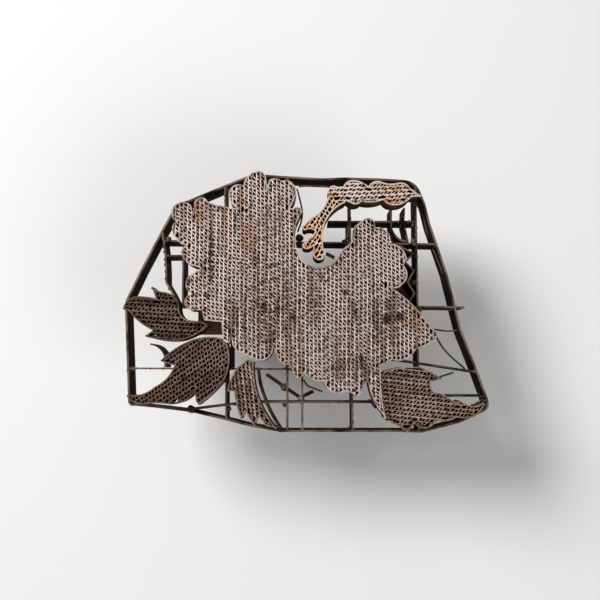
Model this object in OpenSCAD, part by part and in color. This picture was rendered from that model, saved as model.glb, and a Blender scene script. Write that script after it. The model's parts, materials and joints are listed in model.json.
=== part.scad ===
// Batik printing stamp: a flower, four leaves and a budding branch drawn in copper strip,
// soldered onto a lattice of deeper strips inside a band, with a strap handle behind.
// Millimetres, +Z towards the printing face. The stamp lies face up on the flat of its handle.

/* [Stamp] */
// Height from the flat of the handle to the printing face
stamp_h = 100; // [92:1:115]
// Depth of the printing strips, from front edge to back edge
pattern_d = 16; // [12:1:20]
// Depth of the frame strips behind them
frame_d = 20; // [16:1:24]

/* [Printing strips] */
// Thickness of the strips that draw the outlines
rim_t = 0.75; // [0.5:0.05:0.9]
// Thickness of the straight filling strips
rib_t = 0.4; // [0.35:0.05:0.6]
// Thickness of the crimped filling strips
crimp_t = 0.35; // [0.3:0.05:0.5]
// Distance between straight strips in the flower
flower_pitch = 2.24; // [2.1:0.02:2.5]
// Distance between straight strips in the leaves and the branch
leaf_pitch = 2.25; // [2.1:0.05:2.5]
// Distance between the folds of a crimped strip
fold_pitch = 2.05; // [1.9:0.05:2.5]
// How far hand-set strips wander from a straight line
sway = 0.25; // [0:0.05:0.5]

/* [Frame] */
// Thickness of the outer band
band_t = 1.1; // [0.8:0.1:1.4]
// Thickness of the lattice bars
bar_t = 1.0; // [0.8:0.1:1.2]
// Thickness of the square tie wires
wire_d = 1.1; // [0.8:0.1:1.4]

/* [Handle] */
// Width of the handle strap
strap_w = 34; // [30:1:40]
// Thickness of the handle strap
strap_t = 2; // [1.5:0.1:2.5]
// Distance between the outsides of the handle's two legs
handle_l = 90; // [84:1:94]
// Height of the rolled grip above the strap
grip_h = 19; // [14:1:22]

/* [Hidden] */

copper = "#c08a74";
dull_copper = "#8a6a5c";
orange_copper = "#c8804a";
dark_copper = "#4a3c34";
handle_copper = "#5e473a";
solder_grey = "#8b8378";

// Levels, from the handle's flat up
pattern_z = stamp_h - pattern_d;
frame_z = pattern_z - frame_d;
mid_frame_z = frame_z + frame_d / 2;

// Gaps between soldered strips, and the step along an arc
gap = 0.05;
fill_gap = 0.15;
arc_step = 2;
bend_step = 10;
strip_gap = 0.09;
miter_limit = 1.6;
inset_miter_limit = 6;

// Outlines of the printing face, clockwise. Each row is a corner, or a corner and a point that the
// arc to the next corner passes through.
FLOWER = [
  [-74, 48, -70, 53.5], [-63.5, 52], [-62, 47], [-61.5, 53.5, -58, 56.5], [-54, 53.5], [-44, 51],
  [-37, 50, -41.5, 53.5], [-42.5, 59.5, -40.5, 62.5], [-34.5, 63, -32, 68.5], [-27.5, 71, -23.5, 70],
  [-22, 66.5], [-21.5, 59.5], [-20.5, 66, -17, 67], [-13.5, 65.5, -7, 64], [-5.5, 59.5, -6.5, 55],
  [-9, 50.5], [-7, 50, -3.5, 50.5], [-2, 48.5], [-3.5, 46], [-5.5, 41.5, -6, 33.5],
  [-4, 24.5, 7, 17.5], [18, 24], [20, 27.5], [24, 30.5, 26, 35], [26.5, 40], [30.5, 43, 34, 45],
  [38, 39.5, 43.5, 38.5], [46, 30.5, 52.5, 28], [55, 23], [53.5, 18.5, 55.5, 13], [52.5, 8, 49.5, 6],
  [45.5, 7, 54, 1], [61, -6], [72, -19.5, 67.5, -24], [60, -27, 55.5, -32], [46.5, -33], [40, -36.5],
  [40.5, -40, 41, -52.5], [43, -64.5], [39.5, -60, 36, -53.5], [34, -46.5], [33.5, -45],
  [31, -46, 30.5, -49.5], [27, -53, 24.5, -51], [21, -50, 15.5, -51], [10.5, -47.5],
  [9.5, -44.5, 3, -43.5], [-1, -40, -3.5, -43], [-7, -40], [-9, -35.5, -13, -35], [-16, -30.5],
  [-18, -25, -19.5, -31], [-25, -33.5, -29.5, -32], [-34.5, -29.5, -38, -27.5], [-40, -25],
  [-41, -19.5], [-41.5, -24, -44, -23.5], [-45.5, -19.5], [-46, -12.5], [-55.5, -11.5], [-57, -6],
  [-61, -6, -66.5, -1.5], [-63, 3, -66, 8.5], [-62.5, 14], [-57.5, 17], [-60, 18, -66.5, 21.5],
  [-68.5, 25.5, -68, 28], [-66, 29.5, -71, 32.5], [-73.5, 38, -73.5, 40.5], [-71.5, 43, -73.5, 45]
];
UPPER_LEAF = [
  [-100, -5.5, -97.5, -0.5], [-94, 1.5, -88, 1.5], [-82, 0.5, -83, 3], [-84.5, 6.5, -81.5, 5],
  [-78, 4, -72.5, 2], [-69.5, -4.5, -67.5, -9.5], [-63, -11.5], [-57, -12.2], [-53.5, -14.5, -60.5, -19.5],
  [-68.5, -22.5, -78, -22.5], [-87.5, -20], [-83.5, -17, -91.5, -12], [-97, -6]
];
LOWER_LEAF = [
  [-46.9, -21.1], [-42.6, -25.3, -42, -36], [-45, -45, -50.5, -51], [-58, -57.5], [-59.5, -55.5],
  [-60.5, -50.5, -67, -56], [-75, -57, -82, -56.5], [-88, -57, -93.5, -56], [-97, -53],
  [-97, -52, -89, -51.5], [-82, -47.5, -74.5, -41.5], [-71.5, -36, -75.5, -35],
  [-79, -33.5, -71.5, -27], [-63, -22.5, -54, -20.5]
];
SMALL_LEAF = [
  [-32, -33], [-28.2, -34.3], [-28.5, -35.5, -26.5, -51], [-16, -70], [-22, -68.5], [-25.5, -63],
  [-28, -69], [-33, -61], [-35, -65, -37.5, -58], [-39, -50], [-42.5, -50, -40, -41]
];
RIGHT_LEAF = [
  [42, -39.5, 51.5, -37], [62, -37, 68.5, -40], [73.5, -43], [67.5, -45.5, 68, -49], [71, -51],
  [74.5, -51.5, 77.5, -54], [82, -56], [83, -55, 86, -56.5], [90, -58, 93.5, -57.5], [96, -56],
  [97, -57, 94.5, -60.5], [91.5, -63.5, 86, -64.5], [81, -64, 76.5, -66], [71.5, -66],
  [69, -67.5, 64.5, -70], [58.5, -67], [54.5, -72.5, 52.5, -70.5], [48.5, -68], [44.2, -66.2]
];
BRANCH = [
  [12.5, 58, 13, 62], [15.5, 63], [18, 62], [20.5, 62, 22.5, 65], [25, 66, 30.5, 65],
  [34.5, 62.5, 37, 65], [40.5, 65.5, 46, 64], [51, 64.5, 55, 64], [57.5, 61.5], [63.5, 57],
  [58, 56.5, 52.5, 52.5], [47.5, 52, 44.5, 53], [42.5, 55, 36.5, 53.5], [30.5, 54, 28, 52.5],
  [25, 53], [22, 54.5], [21.5, 53.5, 12.5, 46], [9, 34], [9.5, 27.5, 7, 21.5], [4, 26],
  [4, 29.5, 0.5, 27.6], [-1.7, 28.3, -2.3, 29.8], [-0.9, 31.2], [3.5, 34.5], [5, 37.5, 3.5, 38.5],
  [-0.7, 37.9, -2.2, 39.4], [-1, 41.1], [3, 45, 9, 50]
];
// The branch is filled in two parts, which meet on the line from its first corner to this one
branch_bend = 16;

// The flower's rim is five strips, from corner to corner of the outline
rim_cuts = [67, 6, 20, 41, 55, 67];

// Outside of the band strips, clockwise from the left, at the front edges of the frame
BANDS = [
  [[-99.5, -55.2], [-101, -24.5], [-102, -4.5]],
  [[-102, -4.3, -102, -1], [-101, 2], [-93.5, 18], [-82, 40.5], [-74, 55.5]],
  [[-73.8, 55.6], [-66.5, 58], [-50, 65], [-29, 73.5]],
  [[-28.8, 73.5], [-22.5, 72.5], [8.5, 70.5], [23, 71], [42, 70.5], [56.5, 69.5, 63.3, 66], [65.5, 62]],
  [[65.6, 61.8], [68, 56], [70.5, 45], [80, 16], [87.5, -16], [97, -41], [102, -55.3]],
  [[102, -55.5, 102, -59], [100, -61.5], [85.5, -68], [72, -71.5], [65, -73.3]],
  [[64.8, -73.4], [52.5, -73], [-13.8, -73]],
  [[-14, -73], [-31, -70], [-47, -66], [-64, -62], [-84.5, -59.5], [-95.5, -58.5, -99, -57.5], [-99.5, -55.4]]
];
right_band = 4;

// The lattice: the middle line of each bar, from end to end
UPRIGHT_A = [[-46, 65.8], [-44.5, -65.8]];
UPRIGHT_B = [[-10.5, 71], [-10.5, -72.4]];
UPRIGHT_C = [[25, 70.3], [26, -72.4]];
UPRIGHT_D = [[62.5, 65.6], [63, -3], [63, -72.6]];
LEFT_UPRIGHT = [[-81.5, 39.9, -79.6, 26], [-79, 11], [-75.5, 5], [-72.3, -1.3]];
LEAF_SUPPORT = [[-27.2, -37.3], [-26.3, -44, -22.6, -56], [-13.6, -72.3]];
SHORT_LOW = [[-2, -38.7], [-2, -72.4]];
SHORT_LEAF = [[-41.8, -23], [-41.8, -37.2]];
SHORT_SIDE = [[-69.5, 33.8], [-69.5, -1.55]];
CORNER_BEND = [[48.5, 53], [48.5, 46.1]];
CORNER_CURVE = [[48.5, 44.9, 50, 38.5], [56.9, 34.1]];
CORNER_POST = [[56, 53.5], [55.6, 46.1]];
CORNER_POST_LOW = [[55.6, 44.9], [58, 33.6]];
HOOK = [[23.9, 44.9], [23.9, 38.5, 23.2, 36], [20.8, 34.4]];

CROSS_A = [[12.5, 45.5], [61.9, 45.5]];
CROSS_B = [[-80, 34.5], [75, 32.6]];
CROSS_C = [[-100.7, -2], [89.5, -3.2]];
CROSS_D = [[-100, -37.6], [25.2, -38.2]];
CROSS_E = [[-66, -60.7], [-45.4, -58.2], [-37, -57.3, -31, -56.6], [-25, -56.5], [62.4, -56.5]];
SLANTED = [[53, -33], [95.7, -39.6]];
RIGHT_CROSS = [[63.7, -53], [100.4, -53]];
LEFT_SHORT = [[-79, 26], [-70.1, 26]];

ZIGZAG = [[52.7, 31.6], [61, 27.2], [56, 22.5], [61.2, 17.5], [57.5, 11], [61.3, 4.5], [57.4, -1.7]];
SCROLL = [[-87.5, -24, -81.5, -26.8], [-79, -34], [-79, -37]];

uprights = [
  UPRIGHT_A, UPRIGHT_B, UPRIGHT_C, UPRIGHT_D, LEFT_UPRIGHT, LEAF_SUPPORT, SHORT_LOW, SHORT_SIDE
];
crossings = [CROSS_A, CROSS_B, CROSS_C, CROSS_D, CROSS_E, SLANTED, LEFT_SHORT];
soldered = concat(uprights, crossings, [HOOK, ZIGZAG, CORNER_CURVE, CORNER_POST_LOW]);

// Tie wires: how far each lies below the front edges of the frame, and its bends
TIE_WIRES = [
  [2, [[-5, 65], [-1.8, 51.5], [-4.5, 40.5]]],
  [2, [[-3.5, 66.5], [14.5, 66]]],
  [3, [[-0.9, -44.5, 3, -48.3], [9, -50.5]]],
  [3, [[65.8, 57], [70, 37]]],
  [3, [[72.3, 31], [78.3, 15.5]]],
  [3, [[-56.5, 59.6], [-51, 62.6]]],
  [1.5, [[71.5, -15.5], [78.5, -16.6], [86, -16]]],
  [4, [[73.5, -18.5, 82, -31], [90, -37.8]]],
  [2, [[75, -42.5], [83, -40]]]
];
BRACES = [[[-23, -41], [-4, -54]], [[-2, -54], [4.5, -50.8]], [[17, 27.5], [12, 30]]];
SOLDER = [
  [-12, -48.3, 2.2], [-2.6, -54.6, 1.9], [-3.6, 36.6, 2.4], [-64.5, -60.6, 2.4], [-14.5, -71.6, 1.8],
  [61.3, 44.2, 1.6], [61.2, 34.6, 1.8], [-11.8, -57.8, 1.5], [24, 33.2, 1.6], [-78.2, 35.8, 1.7],
  [64.4, -4.4, 1.6], [-99.6, -39, 1.5], [61.8, 11, 2], [53.8, 31.5, 1.8], [-43.4, -60, 1.6]
];

// Handle: its centre, the bends of its strap, and the plates that it is riveted to
handle_x = -2;
handle_y = 2;
leg_x = handle_l / 2 - strap_t / 2;
bend_r = 8;
plate_t = 1.5;
plate_w = strap_w + 6;
flange_l = 15;
rivet_r = 1.9;
rivet_hole_r = 1.95;
rivet_head_r = 3.4;
rivet_head_h = 1.6;
rivet_y = 9;
grip_t = 1.2;
grip_l = handle_l - 2 * strap_t - 2 * bend_r;
flange_z = frame_z - plate_t - strap_t / 2;

function turned(p, a) = [p[0] * cos(a) - p[1] * sin(a), p[0] * sin(a) + p[1] * cos(a)];

function unit(v) = v / max(norm(v), 0.000001);

// Direction to the right of a path that runs along v
function right_of(v) = let (u = unit(v)) [u[1], -u[0]];

// Points from a towards b, on the arc through v, without b
function arc_points(a, v, b) =
  let (
    d = 2 * (a[0] * (v[1] - b[1]) + v[0] * (b[1] - a[1]) + b[0] * (a[1] - v[1])),
    aa = a * a,
    vv = v * v,
    bb = b * b,
    c = [
      (aa * (v[1] - b[1]) + vv * (b[1] - a[1]) + bb * (a[1] - v[1])) / d,
      (aa * (b[0] - v[0]) + vv * (a[0] - b[0]) + bb * (v[0] - a[0])) / d
    ],
    r = norm(a - c),
    from = atan2(a[1] - c[1], a[0] - c[0]),
    past = atan2(v[1] - c[1], v[0] - c[0]),
    to = atan2(b[1] - c[1], b[0] - c[0]),
    left_turn = (past - from + 720) % 360 < (to - from + 720) % 360,
    sweep = left_turn ? (to - from + 720) % 360 : -((from - to + 720) % 360),
    n = max(2, ceil(r * abs(sweep) * PI / 180 / arc_step))
  )
  [for (i = [0:n - 1]) c + r * [cos(from + sweep * i / n), sin(from + sweep * i / n)]];

function corner(row) = [row[0], row[1]];

function stretch(row, next) =
  len(row) == 4 ? arc_points(corner(row), [row[2], row[3]], corner(next)) : [corner(row)];

// All points of an outline's corners from row a to row b, which may pass its first row
function traced(rows, a, b) =
  let (n = len(rows))
  concat([for (i = [a:b - 1]) each stretch(rows[i % n], rows[(i + 1) % n])], [corner(rows[b % n])]);

function open_path(rows) = traced(rows, 0, len(rows) - 1);

function closed_path(rows) =
  [for (i = [0:len(rows) - 1]) each stretch(rows[i], rows[(i + 1) % len(rows)])];

// A path moved to its right by d, with its corners kept sharp up to the miter limit
function moved(path, d, closed = false) =
  let (n = len(path))
  [for (i = [0:n - 1])
    let (
      before = right_of(path[i] - path[closed || i > 0 ? (i + n - 1) % n : 0]),
      after = right_of(path[closed || i < n - 1 ? (i + 1) % n : i] - path[i]),
      first = closed || i > 0 ? before : after,
      last = closed || i < n - 1 ? after : before,
      mean = unit(first + last),
      reach = min(closed ? inset_miter_limit : miter_limit, 1 / max(mean * first, 0.1))
    )
    path[i] + mean * d * reach];

function reversed(list) = [for (i = [len(list) - 1:-1:0]) list[i]];

// Cross-section of a strip on edge, between two distances to the right of its path
function ribbon(path, from, to) = concat(moved(path, from), reversed(moved(path, to)));

module strip(path, from, to, z, h) {
  translate([0, 0, z])
    linear_extrude(height = h)
      polygon(ribbon(path, from, to));
}

// Heights at which a closed path crosses the line at x, lowest first. Each is [height, step], where
// the step is 1 on the way into a clockwise outline.
function sorted(v) =
  len(v) < 2 ? v :
  let (pivot = v[0])
  concat(
    sorted([for (i = [1:1:len(v) - 1]) if (v[i][0] < pivot[0]) v[i]]),
    [pivot],
    sorted([for (i = [1:1:len(v) - 1]) if (v[i][0] >= pivot[0]) v[i]])
  );

function crossed(path, x) =
  let (n = len(path))
  sorted([for (i = [0:n - 1])
    let (p = path[i], q = path[(i + 1) % n])
    if ((p[0] > x) != (q[0] > x))
      [p[1] + (x - p[0]) * (q[1] - p[1]) / (q[0] - p[0]), p[0] > q[0] ? 1 : -1]]);

// Stretches of the line at x that lie inside a closed path, as [low, high]
function inside(path, x) =
  let (at = crossed(path, x))
  [for (i = 0, turns = 0; i < len(at); turns = turns + at[i][1], i = i + 1)
    if (i + 1 < len(at) && turns + at[i][1] > 0) [at[i][0], at[i + 1][0]]];

function shared(a, b) =
  [for (p = a) for (q = b) let (low = max(p[0], q[0]), high = min(p[1], q[1])) if (high - low > 0.4) [low, high]];

// Stretches that are free for a strip of width w centred on x
function free_for(path, x, w) =
  shared(shared(inside(path, x), inside(path, x - w / 2)), inside(path, x + w / 2));

// Hand-set strips wander together, so that neighbours keep their distance. The way that they take is
// straight from one multiple of bend_step to the next.
function drift(x, y) = sway * (0.78 * sin(4.6 * y + 2.1 * x) + 0.22 * sin(9.2 * y - 1.7 * x + 70));

function wander(x, y) =
  let (k = floor(y / bend_step), part = y / bend_step - k)
  (1 - part) * drift(x, k * bend_step) + part * drift(x, (k + 1) * bend_step);

function lowest(path) = min([for (p = path) p[0]]);
function highest(path) = max([for (p = path) p[0]]);

// The space that an outline leaves for its filling, turned so that the strips run along Y
function space(rows, turn) =
  [for (p = moved(closed_path(rows), rim_t + fill_gap, true)) turned(p, -turn)];

function columns(path, pitch) = floor((highest(path) - lowest(path)) / pitch);

function column_x(path, pitch, i) = lowest(path) + pitch * (i + 0.5);

module straight_rib(x, low, high) {
  bends = [for (k = [ceil(low / bend_step + 0.05):1:floor(high / bend_step - 0.05)]) k * bend_step];
  mid = [for (y = concat([low], bends, [high])) [x + wander(x, y), y]];
  side = [rib_t / 2, 0];
  linear_extrude(height = pattern_d)
    polygon(concat([for (p = mid) p - side], reversed([for (p = mid) p + side])));
}

// Straight filling strips of columns first to last
module ribs(rows, turn, pitch, first, last) {
  path = space(rows, turn);
  translate([0, 0, pattern_z])
    rotate(turn)
      for (i = [first:1:min(last, columns(path, pitch))])
        let (x = column_x(path, pitch, i))
          for (s = free_for(path, x, rib_t + 2 * sway))
            if (s[1] - s[0] > 1.2)
              straight_rib(x, s[0], s[1]);
}

// One fold of a crimped strip centred on x, crossing it at height y. The fold falls by slope to the
// right. Even folds come up the left side and leave up the right side, and odd folds the other way.
function fold_left(x, y, a, slope, even) =
  let (h = crimp_t / 2 * sqrt(1 + slope * slope), out = a + crimp_t / 2, in = a - crimp_t / 2)
  even ? [[x - out, y + slope * out + h], [x + in, y - slope * in + h]]
       : [[x + in, y - slope * in - h], [x - out, y + slope * out - h]];

function fold_right(x, y, a, slope, even) =
  let (h = crimp_t / 2 * sqrt(1 + slope * slope), out = a + crimp_t / 2, in = a - crimp_t / 2)
  even ? [[x - in, y + slope * in - h], [x + out, y - slope * out - h]]
       : [[x + out, y - slope * out + h], [x - in, y + slope * in + h]];

module crimped_strip(x, low, high, pitch, slope, seed) {
  a = (pitch - rib_t - 2 * strip_gap - crimp_t) / 2;
  reach = slope * (a + crimp_t / 2) + crimp_t;
  n = floor((high - low - 2 * reach) / fold_pitch);
  slack = high - low - 2 * reach - n * fold_pitch;
  uneven = rands(-0.16, 0.16, n + 1, seed);
  ys = [for (i = [0:n]) low + reach + slack / 2 + i * fold_pitch + uneven[i]];
  wobble = function (p) [p[0] + wander(x, p[1]), p[1]];
  out = a + crimp_t / 2;
  in = a - crimp_t / 2;
  top = n % 2 == 0 ? [in, out] : [-out, -in];
  left = [for (i = [0:n]) each fold_left(x, ys[i], a, slope, i % 2 == 0)];
  right = [for (i = [0:n]) each fold_right(x, ys[i], a, slope, i % 2 == 0)];
  points = concat([[x - out, low]], left, [[x + top[0], high], [x + top[1], high]], reversed(right), [[x - in, low]]);
  linear_extrude(height = pattern_d)
    polygon([for (p = points) wobble(p)]);
}

// Crimped strips between the straight ones, of columns first to last
module crimps(rows, turn, pitch, slope, first, last, seed) {
  path = space(rows, turn);
  least = 2 * slope * (pitch - rib_t) / 2 + 3 * crimp_t + 0.4;
  translate([0, 0, pattern_z])
    rotate(turn)
      for (i = [first:1:min(last, columns(path, pitch))])
        let (x = column_x(path, pitch, i) - pitch / 2)
          for (s = free_for(path, x, pitch - rib_t + 2 * sway))
            if (s[1] - s[0] > least)
              crimped_strip(x, s[0], s[1], pitch, slope, seed + i);
}

// Columns of each filling run from the lowest X of its turned outline
flower_turn = 0;
flower_slope = 0.82;
flower_split = 31;
every = 200;
upper_leaf_turn = -92.7;
upper_leaf_slope = 0.52;
lower_leaf_turn = -54.7;
lower_leaf_slope = 0.48;
small_leaf_turn = 7;
small_leaf_slope = 0.75;
right_leaf_turn = -95.9;
right_leaf_slope = 0.75;
branch_turn = -87.7;
branch_slope = 0.9;
stem_turn = -32;
stem_slope = 0.35;
branch_head = concat([for (i = [0:branch_bend - 1]) BRANCH[i]], [corner(BRANCH[branch_bend])]);
branch_stem = concat([for (i = [branch_bend:len(BRANCH) - 1]) BRANCH[i]], [corner(BRANCH[0])]);

// Points where a clockwise path turns back on itself to the right, as at a petal's tip
function tips(path) =
  [for (i = [1:1:len(path) - 2])
    let (before = unit(path[i] - path[i - 1]), after = unit(path[i + 1] - path[i]))
    if (before * after < 0.1 && before[0] * after[1] < before[1] * after[0]) i];

// An outline strip is folded at its tips, so each stretch between two tips is drawn by itself
module rim_strip(path) {
  stops = concat([0], tips(path), [len(path) - 1]);
  for (k = [0:len(stops) - 2])
    strip([for (i = [stops[k]:stops[k + 1]]) path[i]], 0, rim_t, pattern_z, pattern_d);
}

module flower_rim(part) {
  from = rim_cuts[part];
  to = rim_cuts[part + 1] + (rim_cuts[part + 1] <= from ? len(FLOWER) : 0);
  color(copper) rim_strip(traced(FLOWER, from, to));
}

module flower_ribs(first, last) {
  color(copper) ribs(FLOWER, flower_turn, flower_pitch, first, last);
}

module flower_crimps(first, last) {
  color(copper) crimps(FLOWER, flower_turn, flower_pitch, flower_slope, first, last, 11);
}

// A closed outline, whose strip ends where it began or a small seam short of there
module rim(rows, tint, seam = 0) {
  path = closed_path(rows);
  last = path[len(path) - 1];
  color(tint) rim_strip(concat(path, [path[0] + seam * unit(last - path[0])]));
}

// A leaf that is soldered against a neighbour at its stem end leaves that end open
module open_rim(rows, tint) {
  color(tint) rim_strip(open_path(rows));
}

module upper_leaf_rim() { rim(UPPER_LEAF, dull_copper); }
module upper_leaf_ribs() { color(dull_copper) ribs(UPPER_LEAF, upper_leaf_turn, leaf_pitch, 0, every); }
module upper_leaf_crimps() {
  color(dull_copper) crimps(UPPER_LEAF, upper_leaf_turn, leaf_pitch, upper_leaf_slope, 0, every, 211);
}
module lower_leaf_rim() { rim(LOWER_LEAF, dull_copper); }
module lower_leaf_ribs() { color(dull_copper) ribs(LOWER_LEAF, lower_leaf_turn, leaf_pitch, 0, every); }
module lower_leaf_crimps() {
  color(dull_copper) crimps(LOWER_LEAF, lower_leaf_turn, leaf_pitch, lower_leaf_slope, 0, every, 311);
}
module small_leaf_rim() { rim(SMALL_LEAF, copper); }
module small_leaf_ribs() { color(copper) ribs(SMALL_LEAF, small_leaf_turn, leaf_pitch, 0, every); }
module small_leaf_crimps() {
  color(copper) crimps(SMALL_LEAF, small_leaf_turn, leaf_pitch, small_leaf_slope, 0, every, 411);
}
module right_leaf_rim() { open_rim(RIGHT_LEAF, copper); }
module right_leaf_ribs() { color(copper) ribs(RIGHT_LEAF, right_leaf_turn, leaf_pitch, 0, every); }
module right_leaf_crimps() {
  color(copper) crimps(RIGHT_LEAF, right_leaf_turn, leaf_pitch, right_leaf_slope, 0, every, 511);
}
module branch_rim() { rim(BRANCH, orange_copper, 0.4); }
module branch_ribs() {
  color(orange_copper) {
    ribs(branch_head, branch_turn, leaf_pitch, 0, every);
    ribs(branch_stem, stem_turn, leaf_pitch, 0, every);
  }
}
module branch_crimps() {
  color(orange_copper) {
    crimps(branch_head, branch_turn, leaf_pitch, branch_slope, 0, every, 611);
    crimps(branch_stem, stem_turn, leaf_pitch, stem_slope, 0, every, 711);
  }
}

// A band strip's outside moved in by d, its ends mitred with those of its neighbours
function band_side(k, d) =
  let (
    path = open_path(BANDS[k]),
    n = len(path),
    before = open_path(BANDS[(k + len(BANDS) - 1) % len(BANDS)]),
    after = open_path(BANDS[(k + 1) % len(BANDS)]),
    m = len(before),
    lead_in = path[0] + before[m - 2] - before[m - 1],
    lead_out = path[n - 1] + after[1] - after[0],
    side = moved(concat([lead_in], path, [lead_out]), d)
  )
  [for (i = [1:n]) side[i]];

band_space = [for (k = [0:len(BANDS) - 1]) each band_side(k, band_t + gap)];

// Frame strips stand on edge, their thickness to the inside of the band
module band_sheet(k) {
  translate([0, 0, frame_z])
    linear_extrude(height = frame_d)
      polygon(concat(open_path(BANDS[k]), reversed(band_side(k, band_t))));
}

module band_strip(k) { color(dark_copper) band_sheet(k); }

module bar(rows) {
  strip(open_path(rows), -bar_t / 2, bar_t / 2, frame_z, frame_d);
}

// Bars that reach the band end against its inside
module within_band() {
  intersection() {
    children();
    translate([0, 0, frame_z - 1])
      linear_extrude(height = frame_d + 2)
        polygon(band_space);
  }
}

// Where two paths cross: the point, and the way that the second path runs there
function meetings(a, b) =
  [for (i = [0:len(a) - 2]) for (j = [0:len(b) - 2])
    let (
      r = a[i + 1] - a[i],
      s = b[j + 1] - b[j],
      w = b[j] - a[i],
      d = r[0] * s[1] - r[1] * s[0],
      t = abs(d) < 0.001 ? -1 : (w[0] * s[1] - w[1] * s[0]) / d,
      u = abs(d) < 0.001 ? -1 : (w[0] * r[1] - w[1] * r[0]) / d
    )
    if (t >= 0 && t < 1 && u >= 0 && u < 1) [a[i] + r * t, s]];

// Half-lap slots for every bar of the other family that crosses this one
module half_laps(rows, others, z, other_t) {
  slot_l = 6;
  for (other = others)
    for (m = meetings(open_path(rows), open_path(other)))
      translate([m[0][0], m[0][1], z])
        rotate(atan2(m[1][1], m[1][0]))
          translate([-slot_l / 2, -other_t / 2 - gap, 0])
            cube([slot_l, other_t + 2 * gap, frame_d / 2 + 1]);
}

// Uprights are slotted from behind, and cross bars from the front
module upright(rows) {
  color(dark_copper)
    difference() {
      within_band() bar(rows);
      half_laps(rows, crossings, frame_z - 1, bar_t);
    }
}

module cross(rows) {
  color(dark_copper)
    difference() {
      within_band() bar(rows);
      half_laps(rows, uprights, mid_frame_z, bar_t);
    }
}

// The longest cross bar laps the band on the right too, and ends a little past it
module long_cross() {
  color(dark_copper)
    difference() {
      bar(CROSS_C);
      half_laps(CROSS_C, uprights, mid_frame_z, bar_t);
      half_laps(CROSS_C, [BANDS[right_band]], mid_frame_z, 2 * band_t);
    }
}

module band_right() {
  color(dark_copper)
    difference() {
      band_sheet(right_band);
      half_laps(BANDS[right_band], [CROSS_C], frame_z - 1, bar_t);
    }
}

module short_uprights() {
  upright(SHORT_LOW);
  upright(SHORT_SIDE);
  color(dark_copper) bar(SHORT_LEAF);
}

module corner_uprights() {
  color(dark_copper) {
    bar(CORNER_BEND);
    bar(CORNER_CURVE);
    bar(CORNER_POST);
    bar(CORNER_POST_LOW);
  }
}

module hook_strip() { color(dark_copper) bar(HOOK); }
module zigzag_strip() { color(dark_copper) bar(ZIGZAG); }
module scroll_strip() { color(dark_copper) bar(SCROLL); }

// A round rod from a to b, its axis at height z
module rod(a, b, z, d) {
  run = b - a;
  translate([a[0], a[1], z])
    rotate([0, 90, atan2(run[1], run[0])])
      cylinder(h = norm(run), d = d, $fn = 24);
}

module tie_wires() {
  color(dark_copper)
    for (w = TIE_WIRES)
      strip(open_path(w[1]), -wire_d / 2, wire_d / 2, pattern_z - w[0] - wire_d, wire_d);
}

// The braces lie against the back edges of the lattice
module brace_rods() {
  brace_d = 2.2;
  color(dark_copper)
    for (b = BRACES)
      rod(b[0], b[1], frame_z - brace_d / 2, brace_d);
}

// Lumps of solder in the corners of the lattice, a little below its front edges. Each is a ball
// without its top and bottom, and the strips that it holds pass through it.
module solder_beads() {
  color(solder_grey)
    difference() {
      within_band()
        for (s = SOLDER)
          translate([s[0], s[1], pattern_z - s[2] - 0.6])
            intersection() {
              sphere(r = s[2], $fn = 32);
              cube([4 * s[2], 4 * s[2], 1.5 * s[2]], center = true);
            }
      for (rows = soldered)
        strip(open_path(rows), -bar_t / 2 - gap, bar_t / 2 + gap, frame_z, frame_d + 1);
    }
}

// Side view of the strap, from the end of one flange to the end of the other
strap_path = [
  [-leg_x - flange_l, flange_z], [-leg_x, flange_z],
  [-leg_x, bend_r + strap_t / 2, -leg_x + bend_r * (1 - cos(45)), strap_t / 2 + bend_r * (1 - sin(45))],
  [-leg_x + bend_r, strap_t / 2], [leg_x - bend_r, strap_t / 2, leg_x - bend_r * (1 - cos(45)), strap_t / 2 + bend_r * (1 - sin(45))],
  [leg_x, bend_r + strap_t / 2], [leg_x, flange_z], [leg_x + flange_l, flange_z]
];
rivet_xs = [-leg_x - flange_l / 2 - 0.5, leg_x + flange_l / 2 + 0.5];

module at_rivets() {
  for (x = rivet_xs)
    for (y = [-rivet_y, rivet_y])
      translate([handle_x + x, handle_y + y, 0])
        children();
}

module rivet_holes() {
  at_rivets()
    translate([0, 0, flange_z - strap_t])
      cylinder(h = 3 * strap_t, r = rivet_hole_r, $fn = 32);
}

module handle_strap() {
  color(handle_copper)
    difference() {
      translate([handle_x, handle_y + strap_w / 2, 0])
        rotate([90, 0, 0])
          linear_extrude(height = strap_w)
            polygon(ribbon(open_path(strap_path), -strap_t / 2, strap_t / 2));
      rivet_holes();
    }
}

// The grip is sheet rolled into an arch on the strap
function arch(w, h, z) = [for (i = [0:24]) [w * cos(180 - 7.5 * i), z + h * sin(180 - 7.5 * i)]];

module handle_grip() {
  w = strap_w / 2 - 0.5;
  color(handle_copper)
    translate([handle_x - grip_l / 2, handle_y, strap_t])
      rotate([90, 0, 90])
        linear_extrude(height = grip_l)
          polygon(concat(arch(w, grip_h, 0), reversed(arch(w - grip_t, grip_h - grip_t, 0))));
}

module foot_plate(x, l) {
  color(handle_copper)
    difference() {
      translate([handle_x + x - l / 2, handle_y - plate_w / 2, frame_z - plate_t])
        cube([l, plate_w, plate_t]);
      rivet_holes();
    }
}

module foot_plate_left() { foot_plate(rivet_xs[0] + 5, 28); }
module foot_plate_right() { foot_plate(rivet_xs[1] - 4, 38); }

// Round-headed rivets, their shanks flush with the plates
module handle_rivets() {
  head_z = flange_z - strap_t / 2;
  color(handle_copper)
    at_rivets() {
      translate([0, 0, head_z])
        cylinder(h = strap_t + plate_t, r = rivet_r, $fn = 32);
      translate([0, 0, head_z])
        rotate([180, 0, 0])
          cylinder(h = rivet_head_h, r1 = rivet_head_r, r2 = rivet_head_r - 1.3, $fn = 32);
    }
}

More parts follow.
